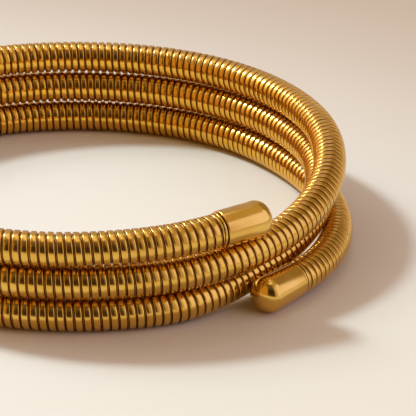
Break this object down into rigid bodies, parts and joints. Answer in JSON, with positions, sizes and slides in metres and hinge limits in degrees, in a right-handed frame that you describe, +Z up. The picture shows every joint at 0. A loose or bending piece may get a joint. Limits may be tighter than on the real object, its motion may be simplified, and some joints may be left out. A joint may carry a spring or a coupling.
{
  "type": "spiral coil bracelet",
  "caption": "Springy coil bracelet of wound gold-tone strip that wraps the wrist in stacked turns, with collar rings and smooth bullet-shaped caps on its two ends.",
  "frame": {"origin": "on the surface that the bracelet lies on, on the axis of the coil", "axes": "+Z up along the coil's axis; both ends lie at the front right, towards +X and -Y, and seen from above the tube runs clockwise down from its upper end"},
  "size_m": [0.0683, 0.0676, 0.0137],
  "materials": {
    "wound_strip": "polished",
    "collar": "polished",
    "end_cap": "high polish"
  },
  "bodies": {
    "root": {"wound_tube": "wound_strip", "upper_collar": "collar", "lower_collar": "collar", "upper_end_cap": "end_cap", "lower_end_cap": "end_cap"}
  },
  "joints": []
}
